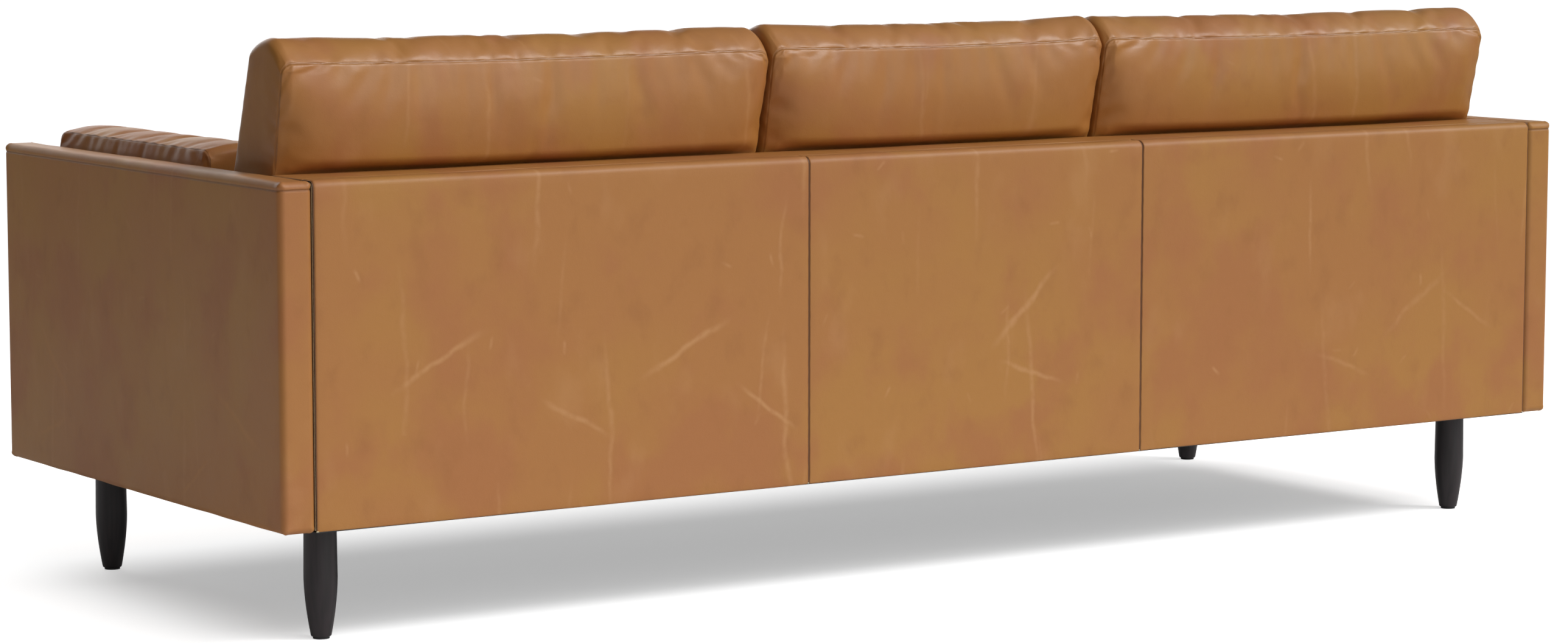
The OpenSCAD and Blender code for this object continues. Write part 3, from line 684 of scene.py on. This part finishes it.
def band(name, x0, x1, profile, thick, rolls, step, seed, material):
    """The outer sheet is profile(t) at every x, moved in along its normal by the roll: r * (1 -
    sqrt(1 - (1 - e / r)^2)) within r of an end, e being the distance to that end and r the roll
    there. A ripple and, near the ends, a pucker at each stitch draw it in a little more, but never
    past FOAM_AT. The inner sheet lies `thick` further in, and quads round the rim close the
    band."""
    curl = 1 - np.cos(np.linspace(0, math.pi / 2, 7))[:-1]
    x = np.concatenate([x0 + rolls[0] * curl, np.linspace(x0 + rolls[0], x1 - rolls[1],
                        max(3, round((x1 - x0) / step))), x1 - rolls[1] * curl[::-1]])
    along = np.gradient(profile, axis=0)
    normal = np.stack([along[:, 1], -along[:, 0]], 1)
    normal /= np.linalg.norm(normal, axis=1, keepdims=True)
    e = np.minimum(x - x0, x1 - x)
    roll = np.where(x - x0 < x1 - x, *rolls)
    dive = roll * (1 - np.sqrt(np.clip(1 - np.clip(1 - e / roll, 0, 1) ** 2, 0, 1)))
    sheet = np.zeros((len(x), len(profile), 3))
    sheet[..., 0] = x[:, None]
    sheet[..., 1:] = profile[None]
    ripple = RIPPLE * wobble(sheet.reshape(-1, 3), 11.0, seed).reshape(len(x), -1)
    pucker = (PUCKER * np.exp(-e / PUCKER_REACH))[:, None] * np.sin(
        np.cumsum(np.linalg.norm(along, axis=1)) / STITCH + seed)[None]
    move = np.maximum(np.minimum(ripple - RIPPLE + pucker, 0) - dive[:, None], -FOAM_AT)
    outer = sheet.copy()
    outer[..., 1:] += normal[None] * move[..., None]
    inner = outer.copy()
    inner[..., 1:] -= normal[None] * thick
    m, n = len(x), len(profile)
    ids = np.arange(m * n).reshape(m, n)
    quad = np.stack([ids[:-1, :-1], ids[1:, :-1], ids[1:, 1:], ids[:-1, 1:]], -1).reshape(-1, 4)
    rim = np.concatenate([ids[:, 0], ids[-1, 1:], ids[-2::-1, -1], ids[0, -2:0:-1]])
    after = np.roll(rim, -1)
    wall = np.stack([rim, rim + m * n, after + m * n, after], 1)
    quads = np.concatenate([quad, quad[:, ::-1] + m * n, wall])
    piece = add_piece(name, np.concatenate([outer.reshape(-1, 3), inner.reshape(-1, 3)]),
                      quads, material)
    add_seam(piece, np.tile(np.repeat(e, n), 2))
    return piece


# %% Make the rear panels, the inner back and the front border
HEM = 0.004                               # rounding of the lower edges
TUCK = 0.018                              # width of the leather that is turned under the frame
BROW = 0.012                              # rounding of the inner back's upper edge
NOSE = 0.008                              # rounding of the front border's upper edge
BRIDGE = 0.001                            # gap where one strip of leather ends at the next
TOP_TURN = 0.034                          # width of the rear leather that lies on the back's top
top_arc = arc((HALF_DEPTH - CORNER, FRAME_TOP - CORNER), CORNER, 0, 90)
rear_profile = np.concatenate([
    run((HALF_DEPTH - TUCK, FLOOR_GAP), (HALF_DEPTH - HEM, FLOOR_GAP), 0.006),
    arc((HALF_DEPTH - HEM, FLOOR_GAP + HEM), HEM, -90, 0, 4)[:-1],
    run((HALF_DEPTH, FLOOR_GAP + HEM), (HALF_DEPTH, FRAME_TOP - CORNER), 0.012),
    top_arc[:-1],
    run((HALF_DEPTH - CORNER, FRAME_TOP), (HALF_DEPTH - TOP_TURN, FRAME_TOP), 0.006),
    [(HALF_DEPTH - TOP_TURN, FRAME_TOP)]])
inner_back_profile = np.concatenate([
    run((HALF_DEPTH - TOP_TURN - BRIDGE, FRAME_TOP), (BACK_TOP_Y + BROW, FRAME_TOP), 0.008),
    arc((BACK_TOP_Y + BROW, FRAME_TOP - BROW), BROW, 90, 166, 6)[:-1],
    run((inner_back_y(FRAME_TOP - 0.016), FRAME_TOP - 0.016),
        (inner_back_y(DECK_Z + BRIDGE), DECK_Z + BRIDGE), 0.014),
    [(inner_back_y(DECK_Z + BRIDGE), DECK_Z + BRIDGE)]])
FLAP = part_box("front_border")[1].y
front_profile = np.concatenate([
    run((FLAP, DECK_Z), (-HALF_DEPTH + NOSE, DECK_Z), 0.008),
    arc((-HALF_DEPTH + NOSE, DECK_Z - NOSE), NOSE, 90, 180, 5)[:-1],
    run((-HALF_DEPTH, DECK_Z - NOSE), (-HALF_DEPTH, FLOOR_GAP + HEM), 0.010),
    arc((-HALF_DEPTH + HEM, FLOOR_GAP + HEM), HEM, 180, 270, 4)[:-1],
    run((-HALF_DEPTH + HEM, FLOOR_GAP), (-HALF_DEPTH + TUCK, FLOOR_GAP), 0.006),
    [(-HALF_DEPTH + TUCK, FLOOR_GAP)]])


PANEL_ROLL = 0.0035                       # rolled edge of the leather where two panels meet
ARM_ROLL = 0.0050                         # and where a panel meets an arm


def cover(name, node, x0, x1, profile, material, seed, rolls=(ARM_ROLL, ARM_ROLL)):
    """One band of leather that stands for a CAD node of the frame."""
    piece = band(name, x0, x1, profile, 0.002, rolls, 0.012, seed, material)
    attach(piece, "frame")
    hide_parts(node)
    print(name, len(piece.data.polygons), "quads")


cover("rear_leather_left", "rear_panel_left", -INNER_X, -SEAM_X, rear_profile, leather_rear, 1,
      (ARM_ROLL, PANEL_ROLL))
cover("rear_leather_middle", "rear_panel_middle", -SEAM_X, SEAM_X, rear_profile, leather_rear, 2,
      (PANEL_ROLL, PANEL_ROLL))
cover("rear_leather_right", "rear_panel_right", SEAM_X, INNER_X, rear_profile, leather_rear, 3,
      (PANEL_ROLL, ARM_ROLL))
cover("inner_back_leather", "inner_back_cover", -INNER_X, INNER_X, inner_back_profile,
      leather_rear, 4)
cover("front_border_leather", "front_border", -INNER_X, INNER_X, front_profile, leather_rear, 5)


# %% [markdown]
# ## Legs
# A turned leg is a profile spun round its axis: almost straight for the upper half, then a bullet
# taper to a small foot with a softened rim. The CAD leg has the same measures; this one is finer,
# with rings close enough for the taper to read as one curve.

# %% Turn the legs
def leg(name, body="frame"):
    """Radius at height h: belly + (top - belly)(h - waist) / (1 - waist) above the waist, and
    foot + (belly - foot)(1 - (1 - h / waist)^1.7) below it, h running from 0 to 1."""
    low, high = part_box(name)
    centre = (low + high) / 2
    tall = high.z - low.z
    belly, top, foot, waist = (high.x - low.x) / 2, 0.0235, 0.0145, 0.52
    rim = 0.0025
    h = np.linspace(rim / tall, 1, 60)
    taper = foot + (belly - foot) * (1 - np.clip(1 - h / waist, 0, 1) ** 1.7)
    upper = belly + (top - belly) * (h - waist) / (1 - waist)
    side = np.stack([np.where(h < waist, taper, upper), low.z + h * tall], 1)
    foot_edge = side[0, 0] - rim + rim * np.sin(np.linspace(0, math.pi / 2, 6)[:-1])
    foot_rise = low.z + rim - rim * np.cos(np.linspace(0, math.pi / 2, 6)[:-1])
    rings = np.concatenate([
        np.stack([np.linspace(0.002, side[0, 0] - rim, 4)[:-1], np.full(3, low.z)], 1),
        np.stack([foot_edge, foot_rise], 1), side,
        np.stack([np.linspace(top, 0.002, 5)[1:], np.full(4, high.z)], 1)])
    around = 96
    a = np.linspace(0, 2 * math.pi, around, endpoint=False)
    p = np.stack([centre.x + rings[:, :1] * np.cos(a), centre.y + rings[:, :1] * np.sin(a),
                  np.repeat(rings[:, 1:], around, 1)], -1).reshape(-1, 3)
    ids = np.arange(len(p)).reshape(len(rings), around)
    after = np.roll(ids, -1, axis=1)
    quads = np.stack([ids[:-1], after[:-1], after[1:], ids[1:]], -1).reshape(-1, 4)
    poles = np.array([[centre.x, centre.y, low.z], [centre.x, centre.y, high.z]])
    first, last = np.full(around, len(p)), np.full(around, len(p) + 1)
    fans = np.concatenate([np.stack([first, after[0], ids[0]], 1),
                           np.stack([last, ids[-1], after[-1]], 1)])
    mesh = bpy.data.meshes.new(name)
    mesh.from_pydata(np.concatenate([p, poles]).tolist(), [], quads.tolist() + fans.tolist())
    mesh.materials.append(SLOT_FINISH["leg_wood"])
    mesh.polygons.foreach_set("use_smooth", np.ones(len(mesh.polygons), bool))
    piece = bpy.data.objects.new(f"turned_{name}", mesh)
    bpy.context.scene.collection.objects.link(piece)
    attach(piece, body)
    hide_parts(name)
    return piece


for corner in ("front_left", "front_right", "rear_left", "rear_right"):
    made = leg(f"leg_{corner}")
    print(made.name, len(made.data.polygons), "faces")


# %% [markdown]
# ## Loose cushions
# A box cushion is two panels joined by a boxing strip. The seams hold the outline while the fill
# pushes everything else out, so each face is a crown that dies away towards its seams, the corners
# pull in, and the leather puckers where it is gathered. The way here is the upholsterer's own:
# cut a case a little smaller than the finished cushion, give it the foam's crown, then let a cloth
# simulation under pressure stretch the leather, held at its seams. The case is a lattice whose
# lines crowd towards the seams, so the simulation keeps them crisp and no remeshing is needed.
# The movement is capped, and a last step keeps each cushion off its neighbours.

# %% Cut the case of a cushion
def case_line(half, corner, step):
    """Lattice lines across a face: crowded at the seams, and spread over each rounded corner
    at even angles, as corner * (1 - tan(t)) from the seam."""
    near = np.concatenate([[0.0015, 0.004], corner * (1 - np.tan(np.linspace(math.pi / 4, 0, 6)))])
    ends = np.unique(np.round(near, 6))
    middle = np.linspace(corner, 2 * half - corner, max(3, round(2 * (half - corner) / step) + 1))
    return np.concatenate([ends[:-1], middle, 2 * half - ends[:-1][::-1]]) - half


def case(half_u, half_v, half_n, corner, crown, boxing, step=0.011):
    """A cushion lying flat: u and v across its face, n through it. The outline is a rectangle
    with rounded corners: there, a point at the larger offset m from the core goes to the radius m
    along its own direction. b is the distance inwards from the outline. A panel stands at half_n
    plus crown * (0.6 (1 - exp(-b / 12 mm)) + 0.4 (1 - exp(-b / 90 mm))); the boxing strip
    bulges by boxing * cos(pi n / 2 half_n). Also returns the quads, the flat coordinates, and each
    point's distance from its seam, which is negative on the panels."""
    strip = np.unique(np.round(np.concatenate([
        [0, 0.0015, 0.004], np.linspace(0.008, half_n, max(3, round(half_n / step)))]), 6))
    strip = np.concatenate([strip[:-1] - half_n, half_n - strip[::-1]])
    p, quads = lattice_skin(case_line(half_u, corner, step), case_line(half_v, corner, step), strip)
    half = np.array([half_u, half_v])
    core = np.clip(p[:, :2], -half + corner, half - corner)
    away = p[:, :2] - core
    reach = np.abs(away).max(1, keepdims=True)
    length = np.maximum(np.linalg.norm(away, axis=1, keepdims=True), 1e-9)
    out = away / length
    flat = core + out * reach
    b = np.where(reach[:, 0] > 0, corner - reach[:, 0], (half - np.abs(flat)).min(1))
    b = np.clip(b, 0, None)
    panel = np.abs(p[:, 2]) > half_n - 1e-7
    rise = crown * (0.6 * (1 - np.exp(-b / 0.012)) + 0.4 * (1 - np.exp(-b / 0.09)))
    n = p[:, 2] + np.sign(p[:, 2]) * panel * rise
    bulge = boxing * np.cos(math.pi / 2 * p[:, 2] / half_n) * ~panel
    made = np.concatenate([flat + out * bulge[:, None], n[:, None]], 1)
    seam = np.where(panel, -b, half_n - np.abs(p[:, 2]))
    return made, quads, flat, seam


# %% Stretch the leather with a cloth simulation
def stretched_cloth(piece, pinned, pressure, slack, frames=20):
    """Runs the simulation on piece, with the pinned points held, and returns where its points
    end. slack is how much the cloth grows, so that it puckers at the seams."""
    group = piece.vertex_groups.new(name="seams")
    group.add(np.flatnonzero(pinned).tolist(), 1.0, "REPLACE")
    cloth_step = piece.modifiers.new("stretch", "CLOTH")
    settings = cloth_step.settings
    settings.quality = 5
    settings.mass = 0.25
    settings.tension_stiffness = 12
    settings.compression_stiffness = 12
    settings.shear_stiffness = 4
    settings.bending_stiffness = 0.6
    settings.vertex_group_mass = "seams"
    settings.pin_stiffness = 1.0
    settings.use_pressure = True
    settings.uniform_pressure_force = pressure
    settings.shrink_min = -slack
    settings.shrink_max = -slack
    settings.effector_weights.gravity = 0
    cloth_step.collision_settings.use_collision = False
    cloth_step.point_cache.frame_start = 1
    cloth_step.point_cache.frame_end = frames
    for number in range(1, frames + 1):
        bpy.context.scene.frame_set(number)
    view = bpy.context.evaluated_depsgraph_get()
    result = piece.evaluated_get(view).to_mesh()
    ends = np.zeros(len(result.vertices) * 3)
    result.vertices.foreach_get("co", ends)
    piece.evaluated_get(view).to_mesh_clear()
    piece.modifiers.remove(cloth_step)
    piece.vertex_groups.clear()
    bpy.context.scene.frame_set(1)
    return ends.reshape(-1, 3)


# %% Crease and seam a cushion
def normals_of(p, quads):
    """Unit normals at the points, from the cross products of the quads' diagonals."""
    face = np.cross(p[quads[:, 2]] - p[quads[:, 0]], p[quads[:, 3]] - p[quads[:, 1]])
    total = np.zeros_like(p)
    for corner_index in range(4):
        np.add.at(total, quads[:, corner_index], face)
    return total / np.maximum(np.linalg.norm(total, axis=1, keepdims=True), 1e-12)


def crease_depth(flat, seam, half, seed, every=0.055, depth=0.0022):
    """How deep the creases are at each point. A crease crosses the seam at a random place along
    it: depth * exp(-(a / w)^2) * exp(-(s / l)^2), where a is the distance along the seam from the
    crease, which leans a little, and s the distance from the seam."""
    random = np.random.default_rng(seed)
    to_side = np.array(half) - np.abs(flat)
    total = np.zeros(len(flat))
    for axis in (0, 1):
        for sign in (-1, 1):
            along, here = flat[:, axis], np.sign(flat[:, 1 - axis]) == sign
            here &= to_side[:, 1 - axis] <= to_side[:, axis]
            span = half[axis] - 0.06
            count = round(2 * span / every)
            where = random.uniform(-span, span, count)
            wide = random.uniform(0.0035, 0.008, count)
            long = random.uniform(0.010, 0.032, count)
            strong = depth * random.uniform(0.1, 1.0, count) ** 3
            lean = random.uniform(-0.25, 0.25, count)
            a = along[:, None] - where - lean * np.abs(seam)[:, None]
            part = strong * np.exp(-(a / wide) ** 2) * np.exp(-(seam[:, None] / long) ** 2)
            total += part.sum(1) * here
    return total


def cushion(name, node, body, half, place, keep_off, material, seed, corner=0.036,
            crown=0.014, boxing=0.006, cap=0.016, pressure=4.0, slack=0.014, creases=0.0022):
    """Case, placed, stretched with its movement capped by cap * tanh(far / cap), creased, grooved
    at its seams, given a slow wobble, kept clear and smoothed once."""
    cut, quads, flat, seam = case(*half, corner, crown, boxing)
    start = place(cut)
    if volume(start, quads) < 0:
        quads = quads[:, ::-1]
    piece = add_piece(name, start, quads, material)
    moved = start
    shift = stretched_cloth(piece, np.abs(seam) < 1e-6, pressure, slack) - start
    far = np.maximum(np.linalg.norm(shift, axis=1, keepdims=True), 1e-9)
    moved = start + shift * (cap * np.tanh(far / cap) / far)
    inward = crease_depth(flat, seam, half[:2], seed, depth=creases)
    inward += 0.0008 * np.exp(-(seam / 0.002) ** 2)
    inward -= 0.0018 * wobble(start, 14.0, seed) * (1 - np.exp(-np.abs(seam) / 0.03))
    moved = keep_off(moved - normals_of(moved, quads) * inward[:, None])
    piece.data.vertices.foreach_set("co", moved.astype(np.float32).ravel())
    add_seam(piece, seam)
    piece.data.update()
    smooth = piece.modifiers.new("smooth", "SUBSURF")
    smooth.levels = smooth.render_levels = 1
    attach(piece, body)
    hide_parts(node)
    print(name, len(quads), "quads, moved up to",
          round(float(np.linalg.norm(moved - start, axis=1).max()), 4))
    return piece


GIVE = 0.005                              # stretch over which a limit takes hold


def soft_limit(value, low, high, give=GIVE):
    """value kept between low and high, bending over the last `give` instead of stopping dead."""
    top, foot = high - give, low + give
    value = np.where(value > top, top + give * np.tanh((value - top) / give), value)
    return np.where(value < foot, foot - give * np.tanh((foot - value) / give), value)


CLEAR = 0.0008                            # air left between a cushion and its neighbours

# %% [markdown]
# ### Seat cushions
# The seats lie flat on the deck and are full: firm foam with a low crown, their boxing strip
# upright all round. Each stays inside the space that its CAD solid holds, so that the back cushions
# and the arm pads stand on it without cutting in.

# %% Make the seat cushions
SEAT_IN, SEAT_THIN = 0.006, 0.012         # how much smaller than its space a seat is cut
for index, side in enumerate(("left", "middle", "right")):
    low, high = (np.array(c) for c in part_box(f"seat_cushion_{side}"))
    middle, half = (low + high) / 2, (high - low) / 2

    def place_seat(p, middle=middle):
        return p + middle

    def keep_seat_off(p, low=low, high=high):
        """Inside its own box."""
        return np.stack([soft_limit(p[:, i], low[i] + CLEAR, high[i] - CLEAR)
                         for i in range(3)], 1)

    cushion(f"seat_leather_{side}", f"seat_cushion_{side}", f"seat_{side}",
            (half[0] - SEAT_IN, half[1] - SEAT_IN, half[2] - SEAT_THIN), place_seat, keep_seat_off,
            leather_flat, 30 + index)


# %% [markdown]
# ### Back cushions
# These are softer and lean back. Seen from the end, the front panel is one leaning line; the rear
# panel lies on the inner back as far as the frame's top, and then swings further back, so that the
# shoulder stands out over that top. The top strip rises to a crest between them. The case is bent
# to that outline: v runs up it, and n runs through it from the front line to the rear line.

# %% Make the back cushions
def rounded_path(z, points, ease=0.03):
    """Y on a polyline of (z, y) points at height z, averaged over `ease` either side of z, which
    rounds its bends."""
    heights, places = zip(*points)
    slope = (places[-1] - places[-2]) / (heights[-1] - heights[-2])
    samples = [np.interp(z + d, heights, places) + np.clip(z + d - heights[-1], 0, None) * slope
               for d in np.linspace(-ease, ease, 7)]
    return np.mean(samples, axis=0)


HEAD = 0.100                              # thickness of a back cushion at its shoulders
FOOT_IN, CREST_IN, REAR_IN = 0.010, 0.008, 0.008    # from the bottom, top and rear of its space
FRONT_DROP, REAR_DROP = 0.018, 0.038      # its two shoulders below the top of its space
SAG = 0.005                               # the middle of its top, below the ends
DROOP_REACH = 0.030                       # how far a drooping end reaches along it
BACK_ENDS = {                             # slim, droop and taper; the first two at the -X end
    "left": (0.005, 0.004, 0.010),
    "middle": (0, -0.003, 0.020),
    "right": (0, 0.006, 0.020),
}
for index, side in enumerate(("left", "middle", "right")):
    low, high = (np.array(c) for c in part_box(f"back_cushion_{side}"))
    foot_z, crest_z, shoulder_z = low[2] + FOOT_IN, high[2] - CREST_IN, high[2] - REAR_DROP
    rear_y = high[1] - REAR_IN
    front_points = ((low[2], low[1] + 0.004), (high[2] - FRONT_DROP, rear_y - HEAD))
    rear_points = ((low[2], inner_back_y(low[2]) - 0.010),
                   (FRAME_TOP, BACK_TOP_Y + 0.002), (shoulder_z, rear_y - 0.004))
    slim, droop, taper = BACK_ENDS[side]
    half_u = (high[0] - low[0]) / 2 - 0.002 - slim
    half_v, half_n = (high[2] - low[2]) / 2, HEAD / 2

    def place_back(p, middle=(low[0] + high[0]) / 2 + slim, foot=foot_z, front=front_points,
                   rear=rear_points, half=(half_u, half_v, half_n), crest=crest_z,
                   shoulder=shoulder_z, droop=droop, taper=taper):
        """s runs from 0 at the front line to 1 at the rear line, t from 0 at the foot to 1 at
        the top, whose height is a line from front to rear plus a crest 4 s (1 - s), less SAG in
        the middle and the droop at one end. taper narrows the rear towards the foot."""
        u, v, n = p[:, 0] / half[0], p[:, 1], p[:, 2]
        s, t = (n / half[2] + 1) / 2, (v / half[1] + 1) / 2
        held = np.clip(s, 0, 1)
        top = front[1][0] + (shoulder - front[1][0]) * held
        top = top + (crest - (front[1][0] + shoulder) / 2) * 4 * held * (1 - held)
        top = top - SAG * (1 - u ** 2) - droop * np.exp(-(1 + u) * half[0] / DROOP_REACH)
        z = foot + t * (top - foot)
        y = rounded_path(z, front) * (1 - s) + rounded_path(z, rear, 0.020) * s
        narrow = 1 - taper * (1 - t) * held
        return np.stack([p[:, 0] * narrow + middle, y, z], 1)

    def keep_back_off(p, low=low, high=high):
        """Off the seat, the inner back, the back's top and the neighbours."""
        q = p.copy()
        q[:, 0] = soft_limit(q[:, 0], low[0] + CLEAR, high[0] - CLEAR)
        q[:, 2] = soft_limit(q[:, 2], low[2] + CLEAR, high[2] + GIVE)
        wall = inner_back_y(np.minimum(q[:, 2], FRAME_TOP)) - 0.0015
        over = np.clip((q[:, 2] - FRAME_TOP - 0.0005) / 0.012, 0, 1)
        wall = wall + (high[1] + 0.008 - wall) * over
        q[:, 1] = np.minimum(q[:, 1], wall)
        q[:, 1] = np.maximum(q[:, 1], low[1] + CLEAR)
        return q

    cushion(f"back_leather_{side}", f"back_cushion_{side}", f"back_{side}",
            (half_u, half_v, half_n), place_back, keep_back_off, leather_cushion, 50 + index,
            crown=0.017, cap=0.014, corner=0.019, boxing=0.003, creases=0.0030)


# %% [markdown]
# ### Arm pads
# A tall narrow bolster stands inside each arm, its panels facing the arm and the seat. Its top
# shows above the arm, so the strip that crowns it matters more than its sides.

# %% Make the arm pads
PAD_LOWER = 0.004                         # how far below the middle of its space a pad sits
for index, side in enumerate(("left", "right")):
    low, high = (np.array(c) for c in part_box(f"arm_pad_{side}"))
    middle, half = (low + high) / 2, (high - low) / 2
    hand = 1 if side == "right" else -1

    def place_pad(p, middle=middle, hand=hand):
        """u runs along Y, v up Z, and n across the sofa."""
        return np.stack([middle[0] + hand * p[:, 2], middle[1] + p[:, 0],
                         middle[2] + p[:, 1] - PAD_LOWER], 1)

    def keep_pad_off(p, low=low, high=high):
        """Inside its own box, but free to rise a little past its top."""
        q = np.stack([soft_limit(p[:, i], low[i] + CLEAR, high[i] - CLEAR)
                      for i in range(2)], 1)
        return np.column_stack([q, soft_limit(p[:, 2], low[2] + CLEAR, high[2] + 0.006)])

    cushion(f"pad_leather_{side}", f"arm_pad_{side}", f"pad_{side}",
            (half[1] - 0.002, half[2] - 0.007, half[0] - 0.010), place_pad, keep_pad_off,
            leather_pad, 70 + index, corner=0.020, cap=0.011, boxing=0.007,
            creases=0.0014)
